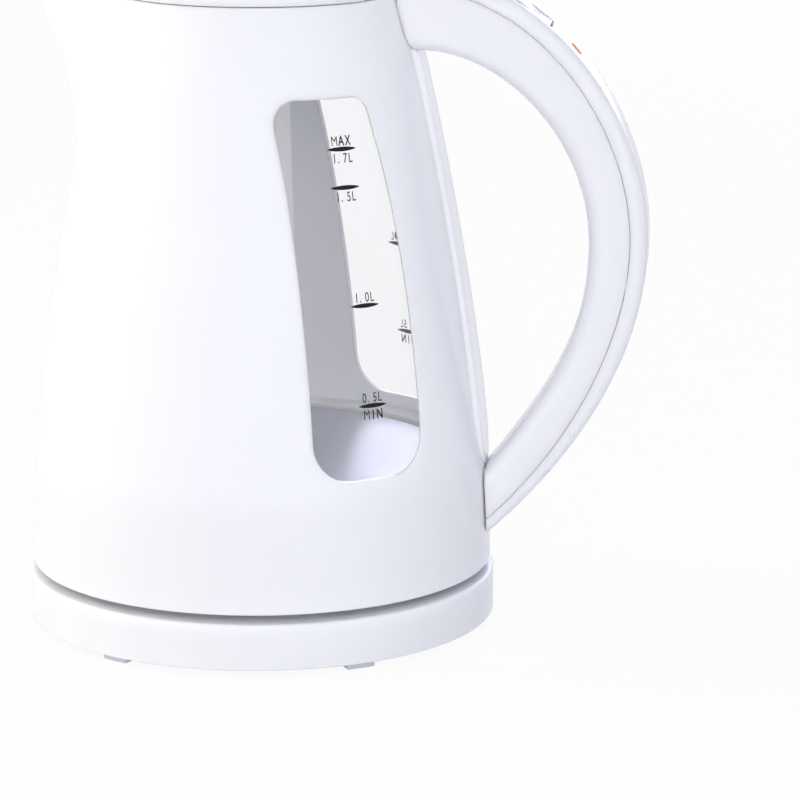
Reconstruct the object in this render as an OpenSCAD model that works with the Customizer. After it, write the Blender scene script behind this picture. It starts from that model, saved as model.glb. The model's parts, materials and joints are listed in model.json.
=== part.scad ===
// Electric kettle: conical plastic jug with two water windows and a bow handle,
// on a 360 degree power base.
// Origin on the table, under the middle of the base. +Z is up, the handle points to +X, the spout to -X.

/* [Power base] */
// Outer radius of the base
base_r = 82; // [80:0.5:84]
// Height of the base's top plate above the table
base_h = 18.5; // [18:0.1:19]
// Gap under the base's edge, which the feet hold open
foot_h = 2.5; // [2:0.1:3]
// Thickness of the base's plastic walls
base_wall = 2.2; // [1.8:0.1:2.4]
// Width of a rubber foot, along the edge
foot_w = 10; // [8:0.5:12]
// Radius of the gland hole for the mains lead
gland_r = 3.3; // [2.8:0.1:3.4]

/* [Jug] */
// Outer radius of the jug at the bottom
jug_r = 80.8; // [80:0.2:81.4]
// Outer radius of the jug where its curve ends at the top
jug_top_r = 50.5; // [50:0.1:51]
// Height of the jug's bottom edge
jug_bottom = 21.6; // [21:0.1:22]
// Height of the jug's rim
rim_z = 222; // [221:0.5:223]
// Thickness of the jug's wall
wall = 2.5; // [2.2:0.1:2.8]
// Height of the ledge that the heater plate is clamped under
ledge_z = 60.5; // [59:0.5:61]
// How far the flat of the spine under the lid hinge stands proud of the jug in the middle
spine_proud = 0.3; // [0.1:0.1:0.6]

/* [Water windows] */
// Angle of each window from the handle
window_angle = 55; // [52:0.5:58]
// Height of the windows' lower edge
window_bottom = 65.5; // [65:0.5:68]
// Height of the windows' upper edge
window_top = 193; // [188:1:196]
// Radius of the windows' lower corners
window_corner = 13; // [10:0.5:15]

/* [Spout] */
// How far the tip of the spout stands out from the jug
spout_reach = 29; // [25:0.5:31]
// Height where the spout starts to grow out of the jug
spout_start = 166; // [160:1:172]
// Half of the spout's width at the jug, in degrees
spout_half = 40; // [36:1:42]

/* [Handle] */
// Distance from the axis to the outermost point of the handle
handle_reach = 135.4; // [133:0.2:137]
// Depth of the handle at its outermost point
handle_depth = 20.5; // [19:0.5:22]
// Width of the handle at the grip
handle_w = 26; // [24:0.5:28]
// Width of the handle at its head
head_w = 33; // [31:0.5:34]
// Depth of the back cover, from the seam to the back face
cover_depth = 6; // [5:0.5:6.5]
// Thickness of the handle's walls
handle_wall = 2.2; // [2:0.1:2.4]
// Gap between the foot of the handle and the jug
foot_gap = 0.6; // [0.4:0.1:1.2]

/* [Lid] */
// Height of the lid's crown
lid_crown = 233.5; // [232:0.5:235]
// Distance from the axis to the lid's hinge pin
hinge_x = 46; // [45.5:0.1:46.5]
// Height of the lid's hinge pin
hinge_z = 226; // [225.5:0.1:226.5]
// Radius of the lid's hinge pin
hinge_pin_r = 1.5; // [1.2:0.1:1.8]
// Radius of the lid's push button
button_r = 11; // [10:0.5:11.5]
// Travel of the push button, and of the latch that it draws back
button_travel = 3; // [2:0.5:3]

/* [Switch] */
// Length of the rocker, along the handle
rocker_l = 24; // [22:0.5:25]
// Width of the rocker
rocker_w = 15; // [14:0.5:16]
// Angle that the rocker turns through between off and on
rocker_angle = 12; // [8:1:12]

/* [Hidden] */
$fn = 96;

// Curves, as lists of points
function bezier(p, n) = [for (i = [0:n]) let (t = i / n, u = 1 - t)
    u * u * u * p[0] + 3 * u * u * t * p[1] + 3 * u * t * t * p[2] + t * t * t * p[3]];
function arc(c, r, a0, a1, n = 8) = [for (i = [0:n]) let (a = a0 + (a1 - a0) * i / n) c + r * [cos(a), sin(a)]];
function unit(v) = v / norm(v);
function reverse(p) = [for (i = [len(p) - 1:-1:0]) p[i]];
function mirror_y(p) = [for (q = reverse(p)) [q[0], -q[1]]];

// Jug: outer curve of the wall, as [radius, height]
jug_curve = bezier([[jug_r, 30], [jug_r, 83], [jug_top_r + 12, 180], [jug_top_r, 224]], 30);
function jug_at(z) = lookup(z, [for (p = jug_curve) [p[1], p[0]]]);
function jug_side(z0, z1, off) = concat([[jug_at(z0) + off, z0]],
    [for (p = jug_curve) if (p[1] > z0 + 0.5 && p[1] < z1 - 0.5) [p[0] + off, p[1]]], [[jug_at(z1) + off, z1]]);
chamber_top = ledge_z - 2.5;

// Solid inside the jug's curve, moved out by off, between two heights
module jug_solid(off, z0, z1) {
    rotate_extrude() polygon(concat([[0, z0]], jug_side(z0, z1, off), [[0, z1]]));
}

// Layer that follows the jug's curve between two distances from it
module jug_layer(off_in, off_out, z0, z1) {
    difference() {
        jug_solid(off_out, z0, z1);
        rotate_extrude() polygon(concat([[0, z0 - 1], [jug_at(z0) + off_in, z0 - 1]],
            jug_side(z0, z1, off_in), [[jug_at(z1) + off_in, z1 + 1], [0, z1 + 1]]));
    }
}

// Ring of rectangular section
module ring(r0, r1, z0, z1) {
    translate([0, 0, z0]) difference() {
        cylinder(r = r1, h = z1 - z0);
        translate([0, 0, -1]) cylinder(r = r0, h = z1 - z0 + 2);
    }
}

module disc(r, z0, z1) {
    translate([0, 0, z0]) cylinder(r = r, h = z1 - z0);
}

module box(low, high) {
    translate(low) cube(high - low);
}

// Children repeated at the given angles round the axis, moved out by r
module around(angles, r) {
    for (a = angles) rotate([0, 0, a]) translate([r, 0, 0]) children();
}

// ---- Power base

base_top = base_h;
plate_under = base_top - base_wall;
skirt_in = base_r - base_wall - 0.3;
channel_in = 38;
channel_out = 60;
channel_roof = 11;
notch_w = 9;
gland_z = 7.2;
post_angles = [30, 150, 270];
post_r = 70;
foot_angles = [57.5, 122.5, 237.5, 302.5];
foot_mid = 75.4;
base_edge_r = 1.4;
socket_r = 22;
ring_r = 26;
ring_top = 26;
live_r = 9.1;
neutral_r = 14.6;
slot_w = 2.2;
contact_w = 0.8;
earth_r = 2.4;

// Arc-shaped pads at the feet's angles, from r0 to r1, w wide, up to z
module pads(r0, r1, w, z) {
    half = asin(w / 2 / foot_mid);
    around(foot_angles, 0) rotate([0, 0, -half]) rotate_extrude(angle = 2 * half)
        translate([r0, 0]) square([r1 - r0, z]);
}

// Notch in the rim, where the mains lead leaves the base
module cord_notch() {
    box([-notch_w / 2, channel_out - 2, foot_h - 1], [notch_w / 2, base_r + 2, channel_roof]);
}

module base_top_cover() {
    color("white") difference() {
        union() {
            rotate_extrude() polygon(concat(
                [[socket_r + 2, plate_under], [socket_r + 2, base_top]],
                arc([base_r - base_edge_r, base_top - base_edge_r], base_edge_r, 90, 3, 6),
                arc([base_r - 1, foot_h + 0.8], 0.8, 0, -90, 4),
                [[skirt_in, foot_h], [skirt_in + 0.2, plate_under - 3]],
                arc([skirt_in - 2.8, plate_under - 3], 3, 0, 90, 6)));
            around(post_angles, post_r) disc(4, 4.5, plate_under + 0.5);
        }
        around(post_angles, post_r) disc(1.3, 4, 14);
        cord_notch();
    }
}

module base_bottom_plate() {
    color("whitesmoke") difference() {
        union() {
            rotate_extrude() polygon([
                [0, 3], [channel_in, 3], [channel_in, channel_roof], [channel_out, channel_roof],
                [channel_out, foot_h], [skirt_in - 0.2, foot_h], [skirt_in - 0.2, foot_h + 2],
                [channel_out + 2, foot_h + 2], [channel_out + 2, channel_roof + 1.8],
                [channel_in - 2, channel_roof + 1.8], [channel_in - 2, 5], [0, 5]]);
            around(post_angles, 0) box([channel_in - 1, -7, 3], [50, 7, 4.8]);
            box([-7, channel_in - 4, 3], [7, channel_in + 4, channel_roof + 1]);
        }
        translate([0, channel_in - 6, gland_z]) rotate([-90, 0, 0]) cylinder(r = gland_r, h = 14);
        cord_notch();
        around(post_angles, post_r) disc(1.7, 0, 6);
        around(post_angles, post_r) disc(3.7, 0, foot_h + 0.8);
        pads(foot_mid - 4, base_r, foot_w, foot_h + 1);
    }
}

module base_socket() {
    color("white") difference() {
        union() {
            disc(socket_r + 9, plate_under - 2.5, plate_under - 0.1);
            disc(socket_r, plate_under - 2.5, ring_top + 1);
        }
        disc(earth_r + 0.8, 14.5, 40);
        ring(live_r - slot_w / 2, live_r + slot_w / 2, 15, 40);
        ring(neutral_r - slot_w / 2, neutral_r + slot_w / 2, 15, 40);
    }
}

// Sprung fingers in the socket, beside the rings of the plug that they touch
module socket_contacts() {
    color("goldenrod") {
        for (r = [live_r, neutral_r]) for (a = [0, 120, 240])
            rotate([0, 0, a]) rotate_extrude(angle = 30)
                translate([r + slot_w / 2 - 0.45, 15]) square([0.4, 6]);
        ring(earth_r + 0.35, earth_r + 0.75, 14.5, 21);
    }
}

module base_feet() {
    color("dimgray") pads(foot_mid - 3.9, foot_mid + 3.7, foot_w - 0.2, foot_h + 0.95);
}

module base_screws() {
    color("silver") around(post_angles, post_r) {
        disc(3.4, 1.6, foot_h + 0.75);
        disc(1.25, foot_h + 0.75, 13);
    }
}

// Ring that the jug turns on
module swivel_ring() {
    color("gainsboro") ring(socket_r + 0.06, ring_r, base_top + 0.1, ring_top);
}

// ---- Jug

boss_angles = [60, 180, 300];
boss_r = 73.5;
foot_hole = [18.4, 18.4];
foot_hole_z = 47;
steam_z = 212.5;
steam_r = 5;
deck_x = 40.6;
filter_half = 15;
filter_low = 186;
filter_high = 212.5;
ear_y = [10, 14.5];
tongue_z = [216, 219];

// Outline of a water window, grown by g, as [distance to the spout's side, height]
function window_outline(g) = concat(
    arc([19.5 + g - window_corner, window_bottom - g + window_corner], window_corner, -90, 0),
    bezier([[19.5 + g, 80], [19.4 + g, 115], [20.2 + g, 155], [23.2 + g, window_top - 10]], 12),
    arc([15 + g, window_top + g - 9], 8, 10, 100, 6),
    arc([-4 - g, window_top + g - 8], 7, 100, 165, 5),
    bezier([[-12.4 - g, window_top - 14], [-19.5 - g, 150], [-22.2 - g, 112], [-22.2 - g, 80]], 12),
    arc([-22.2 - g + window_corner, window_bottom - g + window_corner], window_corner, 180, 270));

// Window's outline as a prism through the wall, on the +Y side (side = 1) or the -Y side (side = -1)
module window_prism(side, g) {
    mirror([0, side < 0 ? 1 : 0, 0]) rotate([0, 0, window_angle]) translate([35, 0, 0])
        rotate([90, 0, 90]) linear_extrude(60) polygon(window_outline(g));
}

module water_window(side) {
    intersection() {
        jug_layer(-wall - 0.1, 0, window_bottom - 2, window_top + 4);
        window_prism(side, -0.1);
    }
    intersection() {
        jug_layer(-wall - 1.6, -wall - 0.02, ledge_z + 1, window_top + 8);
        window_prism(side, 3.4);
    }
}

module window_left() {
    color("lightsteelblue", 0.4) water_window(-1);
}

module window_right() {
    color("lightsteelblue", 0.4) water_window(1);
}

// Spout: distance that its outer face (inset = 0) or its channel stands out from the jug, at an angle
// from the keel and a height
function spout_grow(z, inset) = pow(max(0, (z - spout_start - inset * 2) / (rim_z - spout_start)), 1.5);
function spout_out(a, z, inset) = (spout_reach + 2.2) * spout_grow(z, inset)
    * pow(max(0, 1 - sqrt(a * a + 9) / spout_half), 1.7) - inset;
// Angle from the keel at which the outer face is still 0.3 mm out of the jug
function spout_edge(z) = let (side = pow(0.3 / ((spout_reach + 2.2) * spout_grow(z, 0)), 1 / 1.7))
    sqrt(pow((1 - side) * spout_half, 2) - 9);

spout_n = 24;
spout_m = 14;
spout_low = spout_start + 5;

module spout() {
    grid = function (inset) [for (j = [0:spout_m]) let (z = spout_low + (rim_z - spout_low) * j / spout_m)
        for (i = [0:spout_n]) let (a = spout_edge(z) * (2 * i / spout_n - 1),
            r = jug_at(z) + max(0.03, spout_out(a, z, inset)))
            [-r * cos(a), r * sin(a), z]];
    w = spout_n + 1;
    m = w * (spout_m + 1);
    top = spout_m * w;
    quads = concat(
        [for (j = [0:spout_m - 1]) for (i = [0:spout_n - 1]) let (k = j * w + i) each [
            [k, k + w, k + w + 1, k + 1], [m + k, m + k + 1, m + k + w + 1, m + k + w]]],
        [for (i = [0:spout_n - 1]) each [[i, i + 1, m + i + 1, m + i], [top + i, m + top + i, m + top + i + 1, top + i + 1]]],
        [for (j = [0:spout_m - 1]) let (k = j * w, e = k + spout_n) each [
            [k, m + k, m + k + w, k + w], [e, e + w, m + e + w, m + e]]]);
    color("white") polyhedron(concat(grid(0), grid(wall)),
        [for (q = quads) each [[q[0], q[1], q[2]], [q[0], q[2], q[3]]]]);
}

// Spine on the back of the jug, under the lid hinge: outline of its half width against height
spine_side = concat(bezier([[57, 4], [60, 11], [66, 14.6], [80, 14.5]], 6), [[150, 12.5], [rim_z, 11.5]]);

module spine(g = 0) {
    intersection() {
        translate([0, 30, 0]) rotate([90, 0, 0]) linear_extrude(60)
            polygon(concat(jug_side(57, rim_z, spine_proud + g), [[40, rim_z], [40, 57]]));
        rotate([90, 0, 90]) linear_extrude(100)
            polygon(let (p = [for (q = spine_side) [q[0], q[1] + g]]) [for (q = concat(p, mirror_y(p))) [q[1], q[0]]]);
    }
}

// Flat deck behind the lid, with the apron that stops splashes and the two ears that hold the pin
module hinge_deck() {
    intersection() {
        disc(jug_at(rim_z) - 0.5, 205, hinge_z + 5);
        union() {
            box([deck_x, -40, rim_z - 2.5], [60, 40, rim_z - 0.5]);
            box([deck_x, -40, 209], [deck_x + 2, 40, rim_z - 1]);
            for (s = [-1, 1]) translate([0, s > 0 ? ear_y[1] : -ear_y[0], 0]) rotate([90, 0, 0])
                linear_extrude(ear_y[1] - ear_y[0]) polygon(concat(
                    arc([hinge_x, hinge_z], 4, 0, 180, 12), [[hinge_x - 4, rim_z - 2], [hinge_x + 4, rim_z - 2]]));
        }
    }
}

module jug_body() {
    color("white") difference() {
        union() {
            difference() {
                union() {
                    jug_solid(0, jug_bottom, rim_z);
                    spine();
                }
                jug_inside();
            }
            hinge_deck();
            intersection() {
                around(boss_angles, boss_r) disc(4.5, 24.6, 50);
                jug_solid(-1, 24, 51);
            }
        }
        for (side = [-1, 1]) window_prism(side, 0);
        box([-70, -filter_half, filter_low], [-40, filter_half, filter_high]);
        around(boss_angles, boss_r) disc(1.3, 20, 40);
        translate([65, 0, foot_hole_z])
            cube([40, foot_hole[0], foot_hole[1]], center = true);
        translate([42.8, 0, steam_z]) rotate([0, 90, 0]) cylinder(r = steam_r, h = 20);
        translate([hinge_x, 20, hinge_z]) rotate([90, 0, 0]) cylinder(r = hinge_pin_r + 0.02, h = 40);
        box([-49.9, -8, tongue_z[0] - 0.4], [-40, 8, tongue_z[1] + 0.4]);
    }
}

// Hollow of the jug: the water space, the hole for the heater and the chamber under it
module jug_inside() {
    rotate_extrude() polygon(concat(
        [[0, jug_bottom - 1], [jug_at(jug_bottom) - wall - 1.6, jug_bottom - 1], [jug_at(jug_bottom) - wall - 0.2, 24.6]],
        jug_side(26, chamber_top, -wall),
        [[67, chamber_top], [67, ledge_z]],
        jug_side(ledge_z, rim_z + 1, -wall), [[0, rim_z + 1]]));
}

module heater_plate() {
    color("silver") rotate_extrude() polygon([
        [0, 58.7], [63.5, 58.7], [64.5, 55.2], [73, 55.2], [73, 56], [65.3, 56], [64.3, 59.5], [0, 59.5]]);
}

module heat_diffuser() {
    color("lightgray") disc(52, 56.6, 58.68);
}

element_r = 38;
element_tube = 3.4;

// Sheathed element, bent into an open ring, with its two cold ends turned down
module heating_element() {
    color("dimgray") rotate([0, 0, 40]) {
        rotate_extrude(angle = 280) translate([element_r, 53.1]) circle(r = element_tube, $fn = 32);
        around([0, 280], element_r) disc(element_tube + 0.4, 46.1, 56.55);
    }
}

module heater_seal() {
    color("salmon") ring(66, 73.2, 56.05, chamber_top - 0.02);
}

clamp_angles = [30:60:330];
clamp_r = 75.1;

module heater_clamp_ring() {
    color("gray") difference() {
        ring(62, 77, 52.6, 55.15);
        around(clamp_angles, clamp_r) disc(1.35, 50, 60);
    }
}

module clamp_screws() {
    color("silver") around(clamp_angles, clamp_r) {
        disc(1.3, 52.55, chamber_top - 0.02);
        disc(1.9, 50.8, 52.55);
    }
}

// 360 degree plug of the jug, with the control block on top of it
module kettle_coupler() {
    color("dimgray") {
        ring(ring_r + 0.5, ring_r + 2.6, 20.2, 28);
        ring(socket_r + 0.7, ring_r + 2.6, ring_top + 0.12, 28);
        disc(ring_r + 2.6, 27.7, 31);
        difference() {
            box([-24, -20, 30.9], [24, 20, 46]);
            for (s = [-1, 1]) box([s * 16 - 5, -12, 40], [s * 16 + 5, 12, 47]);
        }
    }
}

module coupler_contacts() {
    color("goldenrod") {
        disc(earth_r, 16.5, 27.68);
        for (r = [live_r, neutral_r]) ring(r - contact_w / 2, r + contact_w / 2, 17.5, 27.68);
    }
}

// Two snap discs that cut the heater off when it runs dry, on posts from the control block
module thermal_cutouts() {
    color("tan") for (s = [-1, 1]) translate([s * 16, 0, 0]) {
        disc(9, 52.5, 56.55);
        box([-4, -4, 40.05], [4, 4, 52.6]);
    }
}

module bottom_cover() {
    color("white") difference() {
        union() {
            rotate_extrude() polygon([
                [ring_r + 2.9, 22.4], [58, 22.4], [59, base_top + 0.5], [66, base_top + 0.5], [67, 22.4],
                [75.6, 22.4], [76.6, 23.4], [76.6, 24.5], [64, 24.5], [63, 21.4], [61, 21.4], [60, 24.5],
                [ring_r + 2.9, 24.5]]);
        }
        around(boss_angles, boss_r) disc(1.6, 20, 26);
        around(boss_angles, boss_r) disc(3.2, 20, 23.2);
        for (a = [30:60:330]) rotate([0, 0, a]) box([68.5, -6, 20], [71, 6, 26]);
    }
}

module bottom_screws() {
    color("silver") around(boss_angles, boss_r) {
        disc(2.9, 21.9, 23.15);
        disc(1.25, 23.15, 38);
    }
}

// ---- Handle

head_low = 203;
head_top = 231;
handle_peak = 138;
back_curve = [[handle_reach, handle_peak], [handle_reach, 181.8], [99.7, head_top], [52, head_top]];
outer_low = bezier([[81.2, 33.6], [104.2, 54.1], [handle_reach, 92.2], [handle_reach, handle_peak]], 13);
outer_high = bezier(back_curve, 15);
grip_x = handle_reach - handle_depth;
inner_low = bezier([[83, 60.5], [99.5, 82.7], [grip_x, 102.7], [grip_x, handle_peak - 2]], 13);
inner_high = bezier([[grip_x, handle_peak - 2], [grip_x, 173.4], [84, head_low], [57, head_low]], 15);

// Stations along the handle: [inner point, outer point], from inside the jug at the foot to inside it at the head
stations = concat([[[76, 52.5], [73, 27.5]]],
    [for (i = [0:13]) [inner_low[i], outer_low[i]]],
    [for (i = [1:15]) [inner_high[i], outer_high[i]]],
    [[[46, head_low], [44, head_top]]]);
last = len(stations) - 1;
function station_w(i) = handle_w - 2 + 2 * min(1, i / 8) + (head_w - handle_w) * pow(max(0, (i - 17) / (last - 17)), 1.5);
function station_depth(i) = norm(stations[i][1] - stations[i][0]);

// Point at a station: s from the inner curve towards the outer one, y across
function at_station(i, s, y) = let (a = stations[i][0], u = unit(stations[i][1] - a)) [a[0] + s * u[0], y, a[1] + s * u[1]];

// Solid swept through the stations, from one section outline for each
module sweep(sections, first) {
    n = len(sections[0]);
    m = len(sections) - 1;
    pts = [for (i = [0:m]) for (p = sections[i]) at_station(i + first, p[0], p[1])];
    polyhedron(pts, concat(
        [[for (k = [0:n - 1]) k], [for (k = [n - 1:-1:0]) m * n + k]],
        [for (i = [0:m - 1]) for (k = [0:n - 1]) let (a = i * n + k, b = i * n + (k + 1) % n)
            each [[a, a + n, b], [b, a + n, b + n]]]));
}

function section_of(i, kind) = let (d = station_depth(i), w = station_w(i))
    kind == "shell" ? u_section(0, d - cover_depth - 0.15, w, handle_wall, 7)
        : kind == "cover" ? [for (p = reverse(u_section(0, cover_depth, w, handle_wall, 4.5))) [d - p[0], p[1]]]
        : kind == "foot" ? solid_section(d - cover_depth - 0.15, w, 7)
        : [for (p = reverse(solid_section(cover_depth, w, 4.5))) [d - p[0], p[1]]];

// Closed section, 1 mm inside the outline of the U section
function solid_section(depth, w, r) = let (p = concat([[depth, w / 2 - 1]], arc([r, w / 2 - r], r - 1, 90, 180, 6)))
    concat(p, mirror_y(p));

// U section open towards +s: rounded outside, hollow inside
function u_section(s0, depth, w, t, r) = let (
    out_half = concat([[depth, w / 2]], arc([r, w / 2 - r], r, 90, 180, 6)),
    in_half = concat(arc([r, w / 2 - r], r - t, 180, 90, 4), [[depth, w / 2 - t]]),
    right = concat(out_half, mirror_y(out_half)),
    inner = concat(mirror_y(in_half), in_half))
    concat(right, inner);

module handle_sweep(kind) {
    difference() {
        sweep([for (i = [0:last]) section_of(i, kind)], 0);
        jug_solid(foot_gap, 24, 110);
        jug_solid(0.15, 150, rim_z + 1);
        spine(0.15);
        disc(jug_at(rim_z) + 0.9, 196, 240);
    }
}

// Wall across the open end of the handle's head, beside the lid: the shell's part (kind = "foot") or the cover's
module head_wall(kind) {
    intersection() {
        handle_sweep(kind);
        ring(jug_at(rim_z) + 0.9, jug_at(rim_z) + 2.9, 220, 240);
    }
}

// End wall of the handle's foot, with the spigot that sits in the jug's wall, hollow for the wires
module foot_spigot() {
    difference() {
        union() {
            intersection() {
                handle_sweep("foot");
                jug_solid(foot_gap + 2, 24, 110);
            }
            translate([80.1, 0, foot_hole_z]) cube([5.6, foot_hole[0] - 0.2, foot_hole[1] - 0.2], center = true);
        }
        translate([80, 0, foot_hole_z]) cube([20, foot_hole[0] - 4.4, foot_hole[1] - 4.4], center = true);
    }
}

module handle_shell() {
    color("white") {
        handle_sweep("shell");
        head_wall("foot");
        foot_spigot();
        at_cover_screw() difference() {
            disc(4, -17, -6.8);
            disc(1.3, -14.5, 0);
        }
    }
}

module handle_cover() {
    color("white") head_wall("lip");
    color("white") difference() {
        handle_sweep("cover");
        at_switch() box([-rocker_slot, -rocker_w / 2 - 0.5, -12], [rocker_slot, rocker_w / 2 + 0.5, 8]);
        at_back(lens_t) disc(2.6, -12, 8);
        at_cover_screw() disc(3.4, -4.6, 4);
    }
    color("white") at_cover_screw() difference() {
        disc(4.8, -6.5, -1.2);
        disc(3.4, -4.6, 4);
        disc(1.6, -7, 4);
    }
}

switch_t = 0.7;
lens_t = 0.52;
rocker_slot = rocker_l / 2 + 1.3;
pivot_drop = 5.5;

// Frame on the back of the handle's head, at t along its curve: +Z out of the surface, +X down along the handle
module at_back(t) {
    p = bezier(back_curve, 1000);
    a = p[round(t * 1000)];
    d = p[round(t * 1000) - 1] - p[round(t * 1000) + 1];
    translate([a[0], 0, a[1]]) rotate([0, atan2(-d[1], d[0]), 0]) children();
}

module at_switch() {
    at_back(switch_t) children();
}

rocker_reach = norm([rocker_l / 2, pivot_drop]);

module switch_rocker() {
    color("white") at_switch() {
        translate([0, rocker_w / 2, 0]) rotate([90, 0, 0]) linear_extrude(rocker_w) polygon(concat(
            arc([0, -pivot_drop], rocker_reach, 20, -10, 5),
            [[5, -9.5], [-5, -9.5]],
            arc([0, -pivot_drop], rocker_reach, 190, 144, 7),
            [[0, 0.6]]));
        translate([0, rocker_w / 2 + 2, -pivot_drop]) rotate([90, 0, 0]) cylinder(r = 1.6, h = rocker_w + 4);
    }
}

module switch_housing() {
    color("dimgray") at_switch() difference() {
        union() {
            box([-13, -11, -20], [13, 11, -12.5]);
            for (s = [-1, 1]) box([-6, s > 0 ? rocker_w / 2 + 0.4 : -rocker_w / 2 - 3, -13], [6, s > 0 ? rocker_w / 2 + 3 : -rocker_w / 2 - 0.4, -2.8]);
        }
        translate([0, 15, -pivot_drop]) rotate([90, 0, 0]) cylinder(r = 1.65, h = 30);
    }
}

module indicator_lens() {
    color("orangered") at_back(lens_t) {
        disc(2.5, -2.6, 0.4);
        disc(3.4, -3.4, -2.6);
    }
}

module indicator_lamp() {
    color("wheat") at_back(lens_t) disc(1.8, -10, -3.6);
}

// Frame on the back of the cover near its lower end: +Z out of the surface
module at_cover_screw() {
    b = outer_low[4];
    d = outer_low[5] - outer_low[3];
    translate([b[0], 0, b[1]]) rotate([0, atan2(d[1], -d[0]), 0]) children();
}

module handle_screw() {
    color("silver") at_cover_screw() {
        disc(3.1, -4.55, -3);
        disc(1.25, -14, -4.55);
    }
}

// Round wire along points of the plane y = 0, moved to y
module wire(path, y, r) {
    n = len(path) - 1;
    pts = [for (i = [0:n]) let (
        t = unit(path[min(n, i + 1)] - path[max(0, i - 1)]))
        for (k = [0:5]) let (c = r * cos(60 * k), q = r * sin(60 * k))
            [path[i][0] - t[1] * c, y + q, path[i][1] + t[0] * c]];
    polyhedron(pts, concat(
        [[for (k = [5:-1:0]) k], [for (k = [0:5]) n * 6 + k]],
        [for (i = [0:n - 1]) for (k = [0:5]) let (a = i * 6 + k, b = i * 6 + (k + 1) % 6)
            each [[a, b, a + 6], [b, b + 6, a + 6]]]));
}

// Wires from the control block, through the foot and up the handle to the switch
module handle_wires() {
    path = concat([[24.1, 43], [50, 44], [72, 46.5], [82, 48]],
        [for (i = [3:22]) let (p = at_station(i, station_depth(i) * 0.42, 0)) [p[0], p[2]]], [[93.6, 198.6]]);
    color("firebrick") for (s = [-1, 1]) wire(path, s * 5.5, 1.1);
}

module steam_seal() {
    color("salmon") translate([0, 0, steam_z]) rotate([0, 90, 0]) {
        ring(3.4, steam_r - 0.05, 47, 59);
        ring(3.4, 6.8, 57.8, 59.4);
    }
}

module bimetal_carrier() {
    color("beige") difference() {
        box([62, -12, 206.2], [64.5, 12, 224]);
        translate([60, 0, 215]) rotate([0, 90, 0]) cylinder(r = 7, h = 8);
    }
}

module steam_bimetal() {
    color("silver") translate([0, 0, 215]) rotate([0, 90, 0]) disc(8.2, 64.6, 65.2);
}

// ---- Filter, in the opening between the water space and the spout

module filter_patch(off_in, off_out, grow) {
    intersection() {
        jug_layer(off_in, off_out, filter_low - grow, filter_high + grow);
        box([-80, -filter_half - grow, 150], [0, filter_half + grow, 240]);
    }
}

module filter_frame() {
    color("whitesmoke") difference() {
        filter_patch(-wall - 2, -wall - 0.05, 2.2);
        box([-80, -filter_half + 1.5, filter_low + 1.5], [0, -0.8, filter_high - 1.5]);
        box([-80, 0.8, filter_low + 1.5], [0, filter_half - 1.5, filter_high - 1.5]);
    }
}

mesh_pitch = 2.8;

module filter_mesh() {
    color("silver") intersection() {
        filter_patch(-wall + 0.1, -wall + 0.6, -0.4);
        union() {
            for (y = [-14:mesh_pitch:14]) box([-80, y - 0.4, 150], [0, y + 0.4, 240]);
            for (z = [filter_low + 0.8:mesh_pitch:filter_high]) box([-80, -20, z - 0.4], [0, 20, z + 0.4]);
        }
    }
}

// ---- Lid

cap_r = jug_at(rim_z) - 0.2;
dome_sag = 7.5;
dome_r = (cap_r * cap_r + dome_sag * dome_sag) / (2 * dome_sag);
dome_half = asin(cap_r / dome_r);
plug_r = 45;
plug_floor = 210;
knuckle_y = ear_y[0] - 0.35;
button_x = 10;

module lid_hinge_pin() {
    color("silver") translate([hinge_x, ear_y[1], hinge_z]) rotate([90, 0, 0])
        cylinder(r = hinge_pin_r, h = 2 * ear_y[1]);
}

// Part of the lid in front of the hinge
module before(x) {
    intersection() {
        children();
        box([-100, -100, 150], [x, 100, 300]);
    }
}

module lid_cap() {
    color("white") difference() {
        union() {
            before(deck_x - 0.4) rotate_extrude() polygon(concat(
                arc([0, lid_crown - dome_r], dome_r, 90, 90 - dome_half * 0.96, 12),
                arc([cap_r - 1.6, lid_crown - dome_sag - 1], 1.6, 45, 0, 4),
                [[cap_r, rim_z + 0.3], [cap_r - 2, rim_z + 0.3], [cap_r - 2, lid_crown - dome_sag - 1.8]],
                arc([0, lid_crown - dome_r - 2], dome_r, 90 - dome_half * 0.95, 90, 12)));
            translate([0, knuckle_y, 0]) rotate([90, 0, 0]) linear_extrude(2 * knuckle_y) polygon(concat(
                arc([hinge_x, hinge_z], 3.8, -90, 90, 12), [[deck_x - 3, hinge_z + 2.6], [deck_x - 3, hinge_z - 2.6], [deck_x, hinge_z - 3.2]]));
        }
        translate([hinge_x, 20, hinge_z]) rotate([90, 0, 0]) cylinder(r = hinge_pin_r + 0.06, h = 40);
        translate([button_x, 0, 215]) cylinder(r = button_r + 0.35, h = 30);
    }
    color("white") difference() {
        translate([button_x, 0, 0]) ring(button_r + 0.35, button_r + 2, 225, lid_crown - 1.8);
        box([-60, -12, 220], [60, 12, 225.1]);
    }
}

module lid_plug() {
    color("white") difference() {
        before(deck_x - 1.2) union() {
            ring(plug_r - 2, plug_r, plug_floor, rim_z + 2.5);
            disc(plug_r, plug_floor, plug_floor + 1.6);
            for (s = [-1, 1]) box([-41, s * 7.5 - 1, plug_floor + 1], [26, s * 7.5 + 1, tongue_z[0] - 0.1]);
            box([deck_x - 3.2, -19, plug_floor], [deck_x - 1.2, 19, rim_z + 1]);
        }
        box([-60, -7.6, tongue_z[0] - 0.3], [-30, 7.6, tongue_z[1] + 0.3]);
    }
}

module lid_gasket() {
    color("salmon") before(deck_x - 1.2) ring(plug_r + 0.02, plug_r + 1.8, 211, 213.5);
}

stem_x = [4, 19];
stem_y = 4.5;

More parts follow.
